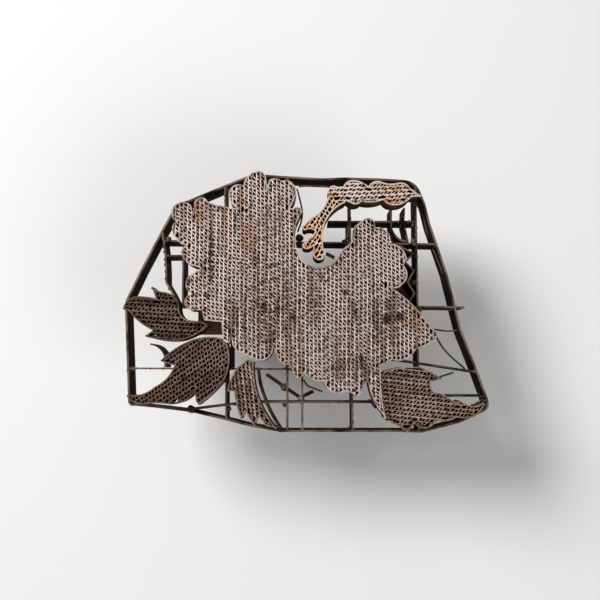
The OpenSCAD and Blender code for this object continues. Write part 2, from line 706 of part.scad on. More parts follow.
flower_rim(0);  // flower_rim_top_left
flower_rim(1);  // flower_rim_top
flower_rim(2);  // flower_rim_right
flower_rim(3);  // flower_rim_bottom
flower_rim(4);  // flower_rim_left
flower_ribs(0, flower_split - 1);  // flower_ribs_left
flower_ribs(flower_split, every);  // flower_ribs_right
flower_crimps(0, flower_split - 1);  // flower_crimps_left
flower_crimps(flower_split, every);  // flower_crimps_right
upper_leaf_rim();
upper_leaf_ribs();
upper_leaf_crimps();
lower_leaf_rim();
lower_leaf_ribs();
lower_leaf_crimps();
small_leaf_rim();
small_leaf_ribs();
small_leaf_crimps();
right_leaf_rim();
right_leaf_ribs();
right_leaf_crimps();
branch_rim();
branch_ribs();
branch_crimps();
band_strip(0);  // band_left
band_strip(7);  // band_lower_left
band_strip(6);  // band_bottom
band_strip(5);  // band_lower_right
band_right();
band_strip(3);  // band_top
band_strip(2);  // band_upper_left
band_strip(1);  // band_shoulder
upright(UPRIGHT_A);  // upright_bar_a
upright(UPRIGHT_B);  // upright_bar_b
upright(UPRIGHT_C);  // upright_bar_c
upright(UPRIGHT_D);  // upright_bar_d
upright(LEFT_UPRIGHT);  // left_upright_strip
upright(LEAF_SUPPORT);  // leaf_support_strip
short_uprights();
corner_uprights();
hook_strip();
cross(CROSS_A);  // cross_bar_a
cross(CROSS_B);  // cross_bar_b
long_cross();  // cross_bar_c
cross(CROSS_D);  // cross_bar_d
cross(CROSS_E);  // cross_bar_e
cross(SLANTED);  // slanted_bar
cross(RIGHT_CROSS);  // right_cross_bar
cross(LEFT_SHORT);  // left_short_bar
zigzag_strip();
scroll_strip();
tie_wires();
brace_rods();
solder_beads();
handle_strap();
handle_grip();
foot_plate_left();
foot_plate_right();
handle_rivets();
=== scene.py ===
# Batik stamp of copper strip, seen from above its printing face. The strips, band, lattice and handle
# come from the frame. Offcuts, plugs of old wax and of painted shade, solder, crust, tie wires and rivets
# are made here, and every piece gets its finish.
import json
import math
import random

import bmesh
import bpy
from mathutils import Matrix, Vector, noise
from mathutils.bvhtree import BVHTree

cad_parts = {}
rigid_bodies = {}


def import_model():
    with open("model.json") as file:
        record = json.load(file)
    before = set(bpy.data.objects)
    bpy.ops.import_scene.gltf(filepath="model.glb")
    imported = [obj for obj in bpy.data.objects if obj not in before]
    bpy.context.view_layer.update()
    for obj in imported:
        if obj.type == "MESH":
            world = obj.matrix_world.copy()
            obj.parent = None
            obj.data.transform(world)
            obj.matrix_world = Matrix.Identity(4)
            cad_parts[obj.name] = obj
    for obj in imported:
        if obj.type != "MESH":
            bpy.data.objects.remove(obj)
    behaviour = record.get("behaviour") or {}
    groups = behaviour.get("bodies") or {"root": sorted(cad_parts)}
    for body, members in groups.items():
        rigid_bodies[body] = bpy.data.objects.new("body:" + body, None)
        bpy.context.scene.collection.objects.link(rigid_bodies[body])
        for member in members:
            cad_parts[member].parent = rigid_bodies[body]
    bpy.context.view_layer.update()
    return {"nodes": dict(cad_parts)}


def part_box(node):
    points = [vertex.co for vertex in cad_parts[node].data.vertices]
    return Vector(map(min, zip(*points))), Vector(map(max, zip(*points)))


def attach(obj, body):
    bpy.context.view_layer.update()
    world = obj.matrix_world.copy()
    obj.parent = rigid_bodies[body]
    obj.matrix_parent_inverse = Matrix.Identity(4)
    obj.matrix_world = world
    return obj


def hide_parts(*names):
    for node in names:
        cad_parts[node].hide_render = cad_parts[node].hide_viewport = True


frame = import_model()
nodes = frame["nodes"]
mm = 0.001
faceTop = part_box("flower_ribs_left")[1].z  # front edges of the printing strips
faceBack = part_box("flower_ribs_left")[0].z  # where they stand on the lattice
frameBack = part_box("band_left")[0].z  # back edges of the band and lattice
print("frame:", len(nodes), "nodes")

# The camera looks almost straight down. Its tilt is 70 pixels at a focal length of 879.
view = {"at": (-0.003315, -0.03854, 0.5784), "tilt": math.atan(70 / 879), "lens": 52.74, "sensor": 36,
        "nearest": 0.01, "furthest": 20}


# Shader maths: a socket that can be added to, multiplied and so on
class Wire:
    def __init__(self, tree, socket=None):
        self.tree = tree
        self.socket = socket

    def node(self, kind, sockets=None, output=0, **settings):
        made = self.tree.nodes.new(kind)
        for key, value in settings.items():
            setattr(made, key, value)
        for key, value in (sockets or {}).items():
            if isinstance(value, Wire):
                self.tree.links.new(value.socket, made.inputs[key])
            else:
                made.inputs[key].default_value = (*value, 1.0) if made.inputs[key].type == "RGBA" else value
        return Wire(self.tree, made.outputs[output] if len(made.outputs) else None)

    def maths(self, operation, a, b=0.0):
        return self.node("ShaderNodeMath", {0: a, 1: b}, operation=operation)

    def __add__(self, other):
        return self.maths("ADD", self, other)

    def __radd__(self, other):
        return self.maths("ADD", other, self)

    def __sub__(self, other):
        return self.maths("SUBTRACT", self, other)

    def __rsub__(self, other):
        return self.maths("SUBTRACT", other, self)

    def __mul__(self, other):
        return self.maths("MULTIPLY", self, other)

    def __rmul__(self, other):
        return self.maths("MULTIPLY", other, self)

    def axis(self, name):  # one coordinate of this place
        return self.node("ShaderNodeSeparateXYZ", {0: self}, name)

    def between(self, low, high, most=1.0):  # 0 below low, most above high, and smooth from one to the other
        sockets = {0: self, 1: low, 2: high, 4: most}
        return self.node("ShaderNodeMapRange", sockets, interpolation_type="SMOOTHSTEP")

    def vector(self, operation, other=(0, 0, 0), output=0):
        return self.node("ShaderNodeVectorMath", {0: self, 1: other}, output, operation=operation)

    def stretched(self, x, y, z):
        return self.vector("MULTIPLY", (x, y, z))

    def turned(self, degrees):
        sockets = {"Vector": self, "Angle": math.radians(degrees)}
        return self.node("ShaderNodeVectorRotate", sockets, rotation_type="Z_AXIS")

    def cloud(self, scale, detail=2.0, rough=0.5):  # noise at this place, with scale lumps to the metre
        sockets = {"Vector": self, "Scale": scale, "Detail": detail, "Roughness": rough}
        return self.node("ShaderNodeTexNoise", sockets, "Fac")

    def nearness(self, x, y, across, along):  # 1 around a place in millimetres, and 0 further off
        off = self.vector("SUBTRACT", (x * mm, y * mm, 0)).stretched(1 / (across * mm), 1 / (along * mm), 0)
        return off.vector("LENGTH", output="Value").between(1.1, 0.35)

    def blend(self, a, b):  # colour a where this is 0, and b where it is 1
        return self.node("ShaderNodeMix", {0: self, 6: a, 7: b}, 2, data_type="RGBA")

    def bump(self, strength, depth):
        return self.node("ShaderNodeBump", {"Strength": strength, "Distance": depth, "Height": self}, "Normal")


def newMaterial(name):
    material = bpy.data.materials.new(name)
    material.use_nodes = True
    material.node_tree.nodes.clear()
    wire = Wire(material.node_tree)
    return material, wire, wire.node("ShaderNodeTexCoord", output="Object")


def addShader(wire, sockets):
    shader = wire.node("ShaderNodeBsdfPrincipled", sockets)
    wire.node("ShaderNodeOutputMaterial", {"Surface": shader})


def tinted(shade, factor, cool=1.0):  # cool scales green and blue, so that less of it is a redder brown
    return shade[0] * factor, shade[1] * factor * cool, shade[2] * factor * cool


# Pieces of the frame by the start of their names and what else stands in them
def piecesOf(parts, *kinds):
    return [piece for name, piece in nodes.items()
            if name.startswith(parts) and any(kind in name for kind in kinds)]


def dress(parts, material, kind=""):
    for piece in piecesOf(parts, kind):
        for place in piece.material_slots:
            place.material = material


def meshOf(pieces):
    points, faces = [], []
    for piece in pieces:
        start = len(points)
        points.extend(vert.co.copy() for vert in piece.data.vertices)
        faces.extend([start + i for i in face.vertices] for face in piece.data.polygons)
    return points, faces


def treeOf(pieces):  # to cast rays at
    return BVHTree.FromPolygons(*meshOf(pieces))


def addRing(work, points, z):  # points in millimetres, at a height in metres
    return [work.verts.new((x * mm, y * mm, z)) for x, y in points]


def skin(work, rings):  # faces from ring to ring, and a cap on each end
    for one, two in zip(rings, rings[1:]):
        for k in range(len(one)):
            j = (k + 1) % len(one)
            work.faces.new((one[k], one[j], two[j], two[k]))
    work.faces.new(rings[0])
    work.faces.new(reversed(rings[-1]))


def addLump(work, x, y, z, radii, roughness, seed, steps=2):  # all in millimetres, but for the height z
    made = bmesh.ops.create_icosphere(work, subdivisions=steps, radius=1.0)
    centre, radii = (x * mm, y * mm, z), [r * mm for r in radii]
    shift = Vector((seed * 7.3, seed * 3.1, seed * 5.7))  # every seed has its own noise
    for vert in made["verts"]:
        swell = 1 + roughness * (noise.noise(vert.co * 1.3 + shift) + 0.5 * noise.noise(vert.co * 3.1 + shift))
        vert.co = Vector(vert.co[i] * swell * radii[i] + centre[i] for i in range(3))


def stretchesOf(line):
    return [(Vector(a), Vector(b)) for a, b in zip(line, line[1:])]


def meshFrom(name, build):
    work = bmesh.new()
    build(work)
    bmesh.ops.recalc_face_normals(work, faces=work.faces)
    mesh = bpy.data.meshes.new(name)
    work.to_mesh(mesh)
    work.free()
    return mesh


def linked(name, data):
    piece = bpy.data.objects.new(name, data)
    bpy.context.scene.collection.objects.link(piece)
    return piece


def addPiece(name, data, material, smooth=True):
    piece = linked(name, data)
    data.materials.append(material)
    for face in data.polygons if smooth else ():
        face.use_smooth = True
    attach(piece, "root")
    return piece


# Short lengths of strip carry each filling on to its outline, where the long strips stop short. Ribs
# are the straight strips and crimps the folded ones. Turn is how far a field's strips are turned from
# the picture's upright, and slope is how fast the crossings fall. Millimetres and degrees.
offcuts = {
    "fields": [
        {"part": "flower", "turn": 0, "pitch": 2.24, "slope": 0.82, "slot": "printing_copper"},
        {"part": "upper_leaf", "turn": -92.7, "pitch": 2.25, "slope": 0.52, "slot": "leaf_copper"},
        {"part": "lower_leaf", "turn": -54.7, "pitch": 2.25, "slope": 0.48, "slot": "leaf_copper"},
        {"part": "small_leaf", "turn": 7, "pitch": 2.25, "slope": 0.75, "slot": "printing_copper"},
        {"part": "right_leaf", "turn": -95.9, "pitch": 2.25, "slope": 0.75, "slot": "printing_copper",
         "against": "flower", "away": -10},
        {"part": "branch", "turn": -87.7, "pitch": 2.25, "slope": 0.9, "slot": "branch_copper", "side": 1},
        {"part": "branch", "turn": -32, "pitch": 2.25, "slope": 0.35, "slot": "branch_copper", "side": -1},
    ],
    "neck": ((12.5, 58), (21.5, 53.5)),  # the branch's head and stem meet on this line
    "thick": 0.36, "overlap": 0.12, "foot": 0.1,
    "ribReach": (-0.24, -0.12, 0, 0.12, 0.24), "ribGap": 1.5, "ribLeast": 0.3, "ribDrop": (0.02, 0.2),
    "fold": 2.05, "foldGap": 1.6, "uneven": 0.15, "margin": 0.2, "samples": 9, "clear": 0.25, "edge": 0.1,
    "crimpLeast": 3, "crimpDrop": (0.02, 0.35), "seed": 21,
}

# The strips wander from a straight line as the long ones do. A wave has its degrees to the millimetre
# along and across the strip, where it starts, and its share.
wandering = {"sway": 0.25, "bend": 10, "waves": ((4.6, 2.1, 0, 0.78), (9.2, -1.7, 70, 0.22))}

# Rays measure a filling. An open outline is asked along rays that lead away from the part it leans on.
rays = {"depth": 2 * mm, "step": 2e-7, "outStep": 2e-6, "wallGap": 0.14, "count": 7, "start": 0.37, "votes": 5,
        "beyond": 1, "openVotes": 6, "openSpread": 20, "openBeyond": 6}


def wander(x, y):
    def drift(v):
        return wandering["sway"] * sum(share * math.sin(math.radians(along * v + across * x + start))
                                       for along, across, start, share in wandering["waves"])
    bend = wandering["bend"]
    k = math.floor(y / bend)
    part = y / bend - k
    return (1 - part) * drift(k * bend) + part * drift((k + 1) * bend)


class Field:  # one filling, measured in millimetres across (u) and along (v) its strips
    def __init__(self, settings):
        self.part, self.slot = settings["part"], settings["slot"]
        self.pitch, self.slope = settings["pitch"], settings["slope"]
        self.c, self.s = math.cos(math.radians(settings["turn"])), math.sin(math.radians(settings["turn"]))
        self.side = settings.get("side", 0)
        self.name = self.part + "_offcuts" + ("_stem" if self.side == -1 else "")
        self.open = "against" in settings  # the outline is open, and another part's outline closes it
        self.away = settings.get("away", 0)
        self.rims = treeOf(piecesOf((self.part, settings.get("against", self.part)), "_rim"))
        self.ribs, self.crimps = (treeOf(piecesOf(self.part, kind)) for kind in ("_ribs", "_crimps"))
        across, along = zip(*(self.turned(point) for point in meshOf(piecesOf(self.part, "_rim"))[0]))
        beyond = rays["openBeyond" if self.open else "beyond"]
        self.low, self.high = min(along) - beyond, max(along) + beyond
        ribs = (self.turned(point) for point in meshOf(piecesOf(self.part, "_ribs"))[0])
        turns = [math.tau * u / self.pitch for u, v in ribs if self.kept(u, v)]
        self.phase = math.atan2(sum(map(math.sin, turns)), sum(map(math.cos, turns))) / math.tau * self.pitch
        first = math.ceil((min(across) - self.phase) / self.pitch)
        last = math.floor((max(across) - self.phase) / self.pitch)
        self.lines = [self.phase + k * self.pitch for k in range(first, last + 1)]

    def turned(self, point):
        return (point[0] * self.c + point[1] * self.s) / mm, (point[1] * self.c - point[0] * self.s) / mm

    def place(self, u, v):
        return Vector((u * self.c - v * self.s, u * self.s + v * self.c))

    def kept(self, u, v):  # on this field's side of the neck
        if not self.side:
            return True
        a, b = (Vector(p) for p in offcuts["neck"])
        r, w = b - a, self.place(u, v) - a
        return (r.x * w.y - r.y * w.x) * self.side > 0

    def walls(self, tree, u):  # stretches of the line at u that lie in the strips of a tree
        along = Vector((-self.s, self.c, 0))
        start = (self.place(u, self.low) * mm).to_3d() + Vector((0, 0, faceTop - rays["depth"]))
        found, gone, entered = [], 0.0, None
        far = (self.high - self.low) * mm
        while gone < far:
            hit = tree.ray_cast(start + along * gone, along, far - gone)
            if hit[0] is None:
                break
            gone += hit[3] + rays["step"]
            v = self.low + gone / mm
            if hit[1].dot(along) < 0:
                entered = v if entered is None else entered
            elif entered is not None:
                found.append([entered, v])
                entered = None
        return found

    def encloses(self, x, y):  # in most directions the way out crosses the outline an odd number of times
        votes = 0
        for k in range(rays["count"]):
            a = math.tau * (k + rays["start"]) / rays["count"]
            if self.open:
                a = math.radians(self.away + rays["openSpread"] * (k - rays["count"] // 2))
            along = Vector((math.cos(a), math.sin(a), 0))
            hits, hit = 0, self.rims.ray_cast(Vector((x * mm, y * mm, faceTop - rays["depth"])), along)
            while hit[0] is not None:
                hits += 1
                hit = self.rims.ray_cast(hit[0] + along * rays["outStep"], along)
            votes += hits // 2 % 2  # a strip is hit on both its sides
        return votes >= rays["openVotes" if self.open else "votes"]

    def inside(self, u, strips):  # stretches of the line at u inside the outline
        walls = merged(self.walls(self.rims, u), rays["wallGap"])
        spaces = [[a[1], b[0]] for a, b in zip(walls, walls[1:])]
        if self.open:  # the ones that hold strips
            return [space for space in spaces if any(space[0] < (a + b) / 2 < space[1] for a, b in strips)]
        return [space for space in spaces if self.encloses(*self.place(u, (space[0] + space[1]) / 2))]


def merged(stretches, gap):
    joined = []
    for low, high in sorted(stretches):
        if joined and low - joined[-1][1] < gap:
            joined[-1][1] = max(joined[-1][1], high)
        else:
            joined.append([low, high])
    return joined


def without(stretches, taken, clear):
    for a, b in taken:
        left = []
        for low, high in stretches:
            pieces = ([low, min(high, a - clear)], [max(low, b + clear), high])
            left.extend(piece for piece in pieces if piece[1] > piece[0])
        stretches = left
    return stretches


def addBar(work, field, u, a, b, drop):  # an offcut on the line at u, with its ends sunk in other strips
    a, b = (field.place(x + wander(u, y), y) for x, y in (a, b))
    along = (b - a).normalized()
    side = Vector((-along.y, along.x)) * (offcuts["thick"] / 2)
    a, b = a - along * offcuts["overlap"], b + along * offcuts["overlap"]
    ring = [a - side, b - side, b + side, a + side]
    lower = addRing(work, ring, faceBack + offcuts["foot"] * mm)
    upper = addRing(work, ring, faceTop - drop * mm)
    work.faces.new(upper)
    work.faces.new(reversed(lower))
    for k in range(4):
        work.faces.new((lower[k], lower[(k + 1) % 4], upper[(k + 1) % 4], upper[k]))


def addRibs(work, field, chance):  # straight strips go on to the outline
    for u in field.lines:
        taken = merged([wall for shift in offcuts["ribReach"] for wall in field.walls(field.ribs, u + shift)],
                       offcuts["ribGap"])
        for low, high in without(field.inside(u, taken), taken, 0):
            if high - low > offcuts["ribLeast"] and field.kept(u, (low + high) / 2):
                addBar(work, field, u, (u, low), (u, high), chance.uniform(*offcuts["ribDrop"]))


def addCrossings(work, field, chance):  # crimped strips go on with single crossings
    fold, edge = offcuts["fold"], offcuts["edge"]
    reach = field.pitch / 2 - offcuts["margin"]
    steps = [reach * (2 * k / (offcuts["samples"] - 1) - 1) for k in range(offcuts["samples"])]
    for u in [field.lines[0] - field.pitch / 2] + [line + field.pitch / 2 for line in field.lines]:
        taken = [wall for step in steps[1:-1:2] for wall in field.walls(field.crimps, u + step)]
        taken = merged(taken, fold * offcuts["foldGap"])
        spaces = [without(field.inside(u + step, taken), taken, offcuts["clear"]) for step in steps]
        ends = [end for stretch in spaces for space in stretch for end in space]
        if not ends:
            continue
        base = taken[0][0] - offcuts["margin"] if taken else chance.uniform(0, fold)
        first = math.floor((min(ends) - 1 - base) / fold)
        for k in range(first, math.ceil((max(ends) + 1 - base) / fold) + 1):
            v = base + k * fold + chance.uniform(-offcuts["uneven"], offcuts["uneven"])
            run, best = [], []
            for step, space in zip(steps, spaces):
                y = v - field.slope * step
                if any(low + edge < y < high - edge for low, high in space):
                    run.append((u + step, y))
                    best = list(run) if len(run) > len(best) else best
                else:
                    run = []
            if len(best) >= offcuts["crimpLeast"] and field.kept(*best[len(best) // 2]):
                addBar(work, field, u, best[0], best[-1], chance.uniform(*offcuts["crimpDrop"]))


fields = [Field(settings) for settings in offcuts["fields"]]
print("fillings measured:", len(fields))


# Printing strips: rubbed bright at the front edges, brown and sooty in the cells, and darker towards the
# foot of their walls as painted shade. Heated says where the copper went orange (place, width and length
# in millimetres), tone where it is brighter (below 0) or duller, and soot where it is nearly black. Turn
# is that of the filling.
stripLooks = {
    "flower": {
        "bright": (0.65, 0.522, 0.482), "dull": (0.2, 0.127, 0.105), "warm": (0.4, 0.235, 0.15),
        "wall": (0.03, 0.0165, 0.012), "rough": 0.5, "turn": 0, "dullness": -0.01, "rim": 0.6,
        "heated": [(-12, -34, 11, 11), (-61, 49, 9, 9), (60, -11, 12, 9), (-32, 33, 5, 12)],
        "tone": [(-38, 38, 16, 16, -0.05), (-8, 28, 10, 18, -0.03), (49, 27, 15, 26, -0.09),
                 (1, -13, 10, 12, -0.025), (-24, -12, 24, 20, 0.04), (40, -8, 15, 11, 0.04),
                 (-28, 14, 16, 10, 0.03), (25, -38, 18, 9, 0.05)],
        "soot": [(-52, 25, 1.5, 30), (-39, 42, 1.2, 9), (-23, -4, 2.4, 4.5), (-15, -4, 2, 3.5), (-7, -10, 2.2, 4),
                 (21.6, 3, 2.2, 3), (27, -7, 1.2, 7), (44, -11, 3.5, 4.5), (51, -9, 3.5, 3.5), (30, -33, 1.6, 7)],
    },
    "small_leaf": {
        "bright": (0.38, 0.265, 0.225), "dull": (0.145, 0.088, 0.068), "warm": (0.22, 0.125, 0.08),
        "wall": (0.02, 0.011, 0.008), "rough": 0.5, "turn": 7, "dullness": 0.03, "rim": 0.75,
        "heated": [(-36, -60, 9, 9)],
    },
    "right_leaf": {
        "bright": (0.4, 0.28, 0.24), "dull": (0.155, 0.096, 0.075), "warm": (0.27, 0.145, 0.09),
        "wall": (0.022, 0.0125, 0.009), "rough": 0.5, "turn": -95.9, "dullness": 0.02, "rim": 0.75,
        "heated": [(86, -61, 20, 9)], "tone": [(62, -61, 18, 9, -0.04)],
    },
    "upper_leaf": {
        "bright": (0.2, 0.136, 0.116), "dull": (0.076, 0.047, 0.038), "warm": (0.105, 0.062, 0.044),
        "wall": (0.015, 0.0085, 0.0065), "rough": 0.55, "turn": -92.7, "dullness": 0.04, "rim": 0.85,
        "heated": [(-97, -1, 8, 6)], "tone": [(-76, -10, 20, 9, -0.03)],
    },
    "lower_leaf": {
        "bright": (0.2, 0.137, 0.117), "dull": (0.076, 0.048, 0.039), "warm": (0.18, 0.088, 0.052),
        "wall": (0.015, 0.009, 0.0065), "rough": 0.52, "turn": -54.7, "dullness": 0.04, "rim": 0.85,
        "heated": [(-84, -49, 17, 12)], "tone": [(-56, -30, 20, 12, -0.06)],
    },
    "branch": {
        "bright": (0.68, 0.55, 0.5), "dull": (0.36, 0.225, 0.16), "warm": (0.62, 0.35, 0.17),
        "wall": (0.04, 0.021, 0.013), "rough": 0.45, "turn": -87.7, "dullness": -0.04, "rim": 0.75,
        "heated": [(4, 37, 10, 22), (12, 55, 9, 8), (66, 60, 8, 6)],
    },
}

# Wear that all strips share: the noise of each kind of mark, and from which value of it to which the
# mark comes up, and how strongly. The two foot shares are painted shade: how much of the wall colour is
# left at the foot of the outline strips and of the cells.
wear = {
    "patches": (46, 3), "cells": (520, 2), "grime": (230, 4, 0.65), "fine": (2300,), "streaks": (560, 26, 26),
    "runs": (240, 240, 40), "lumps": (140, 4), "rubbed": 0.7 * mm, "clean": 0.15 * mm,
    "dull": (0.44, 0.58), "warm": (0.55, 0.64, 0.6), "heated": (0.34, 0.56, 0.85), "spots": (0.6, 0.68, 0.75),
    "sooty": (0.36, 0.52, 0.9), "wallBrown": (0.4, 0.6), "wallSoot": (0.56, 0.66, 0.7), "cellBrown": (0.4, 0.75),
    "cellTint": (0.33, 0.66), "rimLitAtFoot": 0.45, "cellLitAtFoot": 0.2,
}

# Sides of the outline strips: brown copper that is brighter near the front edges. Soot darkens them in
# spots, and its colour is also the painted shade at the foot of every strip wall.
sideWalls = {
    "dark": (0.03, 0.019, 0.0145), "brown": (0.11, 0.064, 0.044), "copper": (0.22, 0.125, 0.085),
    "soot": (0.014, 0.008, 0.0062), "tint": (0.4, 0.25, 0.18), "gloss": 0.25,
}

# Where a crimped strip runs along a straight one it prints less, and its edge stays darker than where it
# crosses. Millimetres from the middle of its column.
crimpFold = {"pitch": 2.24, "inner": 0.5, "outer": 0.62, "shade": 0.72, "crossing": 1.16}


def besideRib(wire, place, phase):  # 0 where a crimp crosses, and up to shade beside the straight strips
    across, along = place.axis("X") * (1 / mm), place.axis("Y") * (1 / mm)
    pitch = crimpFold["pitch"]
    column = wire.maths("FLOOR", (across - phase) * (1 / pitch)) * pitch + (phase + pitch / 2)
    slow, fast = (
        wire.maths("SINE", along * math.radians(a) + column * math.radians(b) + math.radians(start)) * share
        for a, b, start, share in wandering["waves"])
    off = across - column - (slow + fast) * wandering["sway"]
    return wire.maths("ABSOLUTE", off).between(crimpFold["inner"], crimpFold["outer"], crimpFold["shade"])


def stripMaterial(name, look, phase=None, rimmed=False):
    material, wire, place = newMaterial(name)
    level = look["rim"] if rimmed else 1.0 if phase is None else crimpFold["crossing"]
    bright, dull, warm = (tinted(look[key], level) for key in ("bright", "dull", "warm"))
    height = place.axis("Z")
    patches, cells, grime, fine = (place.cloud(*wear[kind]) for kind in ("patches", "cells", "grime", "fine"))
    streaks = place.turned(-look["turn"]).stretched(*wear["streaks"]).cloud(1.0)
    rubbed = wear["rubbed"]
    worn = (height + (grime - 0.5) * rubbed).between(faceTop - rubbed, faceTop - wear["clean"])
    tarnish = patches * 0.15 + streaks * 0.35 + cells * 0.3 + grime * 0.2 + look["dullness"]
    for *spot, change in look.get("tone", ()):
        tarnish = tarnish + place.nearness(*spot) * change
    edge = tarnish.between(*wear["dull"]).blend(bright, dull)
    edge = (patches * 0.35 + streaks * 0.65).between(*wear["warm"]).blend(edge, warm)
    for spot in look["heated"]:
        heat = place.nearness(*spot) * (grime * 0.5 + streaks * 0.5).between(*wear["heated"])
        edge = heat.blend(edge, warm)
    edge = grime.between(*wear["spots"]).blend(edge, look["wall"])
    for spot in look.get("soot", ()):
        edge = (place.nearness(*spot) * grime.between(*wear["sooty"])).blend(edge, look["wall"])
    if phase is not None:
        edge = besideRib(wire, place.turned(-look["turn"]), phase).blend(edge, look["wall"])
    if rimmed:
        foot = wear["rimLitAtFoot"]
        runs = place.stretched(*wear["runs"]).cloud(1.0, 3)
        wall = (patches * 0.4 + runs * 0.4 + grime * 0.2).between(*wear["wallBrown"])
        wall = wall.blend(sideWalls["dark"], sideWalls["brown"])
        bare = (height + runs * (5 * mm)).between(faceTop - 1 * mm, faceTop + 2.5 * mm)
        wall = bare.blend(wall, sideWalls["copper"])
        wall = grime.between(*wear["wallSoot"]).blend(wall, sideWalls["soot"])
    else:
        foot = wear["cellLitAtFoot"]
        brown = tinted(look["dull"], *wear["cellTint"])
        wall = place.cloud(*wear["lumps"]).between(*wear["cellBrown"]).blend(look["wall"], brown)
    # Painted shade: the walls darken to the soot colour towards their foot, deep in the cells, keeping only the
    # foot share of their own colour there
    upper = height.between(faceBack, faceTop - 1 * mm)
    wall = (upper * (1 - foot) + foot).blend(sideWalls["soot"], wall)
    addShader(wire, {
        "Base Color": worn.blend(wall, edge),
        "Metallic": worn * 0.35 + 0.5,
        "Specular IOR Level": sideWalls["gloss"],
        "Specular Tint": sideWalls["tint"],
        "Roughness": look["rough"] + (1 - worn) * 0.25 + grime * 0.2,
        "Normal": (grime * 0.6 + fine * 0.4).bump(0.35, 0.12 * mm),
    })
    return material


for part, look in stripLooks.items():
    phases = [field.phase for field in fields if field.part == part]
    phase = phases[0] if len(phases) == 1 else None  # the branch's two fillings lie at different angles
    dress(part, stripMaterial(part + "_straight", look), "_ribs")
    dress(part, stripMaterial(part + "_crimped", look, phase), "_crimps")
    dress(part, stripMaterial(part + "_outline", look, rimmed=True), "_rim")
print("printing strips dressed")


def buildOffcuts(work, field, seed):
    chance = random.Random(seed)
    addRibs(work, field, chance)
    addCrossings(work, field, chance)


for number, field in enumerate(fields):
    mesh = meshFrom(field.name, lambda work: buildOffcuts(work, field, number + offcuts["seed"]))
    addPiece(field.name, mesh, bpy.data.materials[field.part + "_straight"], smooth=False)
    print(field.name + ":", len(mesh.polygons), "faces")


# Band and lattice: tarnished nearly black, in part a painted shade for the dim light behind the face,
# with brown front edges lighter as a painted highlight, brown rubbed back edges and yellowish old wax in places
frameLook = {
    "dark": (0.009, 0.0072, 0.0062), "brown": (0.03, 0.019, 0.0135), "copper": (0.09, 0.05, 0.033),
    "edge": (0.15, 0.104, 0.077), "wax": (0.1, 0.074, 0.04), "waxOver": 0.6, "rough": 0.5,
    "highlightDepth": 0.7 * mm, "tint": (0.3, 0.22, 0.17),
}
frameWear = {
    "patches": (60, 4), "grime": (420, 4, 0.6), "runs": (230, 230, 45), "wax": (85, 5, 0.7), "specks": (900, 3),
    "front": 0.3 * mm, "back": 0.9 * mm, "backRubbed": 0.6, "brown": (0.42, 0.6), "bare": (0.54, 0.66, 0.7),
    "rubbed": (0.35, 0.6), "waxRise": 0.05, "waxCover": 0.65, "gloss": 0.2,
}


def frameMaterial(name, look):
    material, wire, place = newMaterial(name)
    height = place.axis("Z")
    kinds = ("patches", "grime", "wax", "specks")
    patches, grime, waxes, specks = (place.cloud(*frameWear[kind]) for kind in kinds)
    runs = place.stretched(*frameWear["runs"]).cloud(1.0, 4)
    # Painted highlight: the front edges of the band and lattice, and the upper parts of wires and rods, are
    # lighter where the light falls on them; the back edges are rubbed
    front = (height + grime * (1.2 * mm)).between(faceBack - look["highlightDepth"], faceBack + frameWear["front"])
    back = (height - grime * (1.4 * mm)).between(
        frameBack + frameWear["back"], frameBack, frameWear["backRubbed"])
    rubbed = wire.maths("MAXIMUM", front, back)
    waxed = (waxes * 0.75 + grime * 0.25).between(look["waxOver"], look["waxOver"] + frameWear["waxRise"])
    bare = (patches * 0.5 + specks * 0.5).between(*frameWear["bare"])
    browned = (patches * 0.35 + runs * 0.4 + grime * 0.25).between(*frameWear["brown"])
    tint = bare.blend(browned.blend(look["dark"], look["brown"]), look["copper"])
    # The edge colour is a painted highlight on the front edges and rubbed copper on the back edges
    tint = (rubbed * patches.between(*frameWear["rubbed"])).blend(tint, look["edge"])
    tint = (waxed * frameWear["waxCover"]).blend(tint, look["wax"])
    addShader(wire, {
        "Base Color": tint,
        "Metallic": 0.75 - waxed * 0.7,
        "Specular IOR Level": frameWear["gloss"],
        "Specular Tint": look["tint"],
        "Roughness": look["rough"] + grime * 0.35 - rubbed * 0.12 - bare * 0.12,
        "Normal": (grime + waxed * 0.8 + runs * 0.5).bump(0.4, 0.25 * mm),
    })
    return material


framePieces = ("band", "upright", "left_upright", "leaf_support", "short_uprights", "corner_uprights", "hook",
               "cross_bar", "slanted", "right_cross", "left_short", "zigzag", "scroll")
dress(framePieces, frameMaterial("frame_copper", frameLook))
print("band and lattice dressed")


# Handle: brown sheet, rubbed lighter where the hand and the table touch it
handleLook = {
    "brown": (0.2, 0.112, 0.075), "dark": (0.06, 0.04, 0.031), "rubbed": (0.47, 0.27, 0.18),
    "tarnish": (0.035, 0.028, 0.024), "rough": 0.36, "strokes": (50, 1100, 1100), "strokeTurn": 4,
}


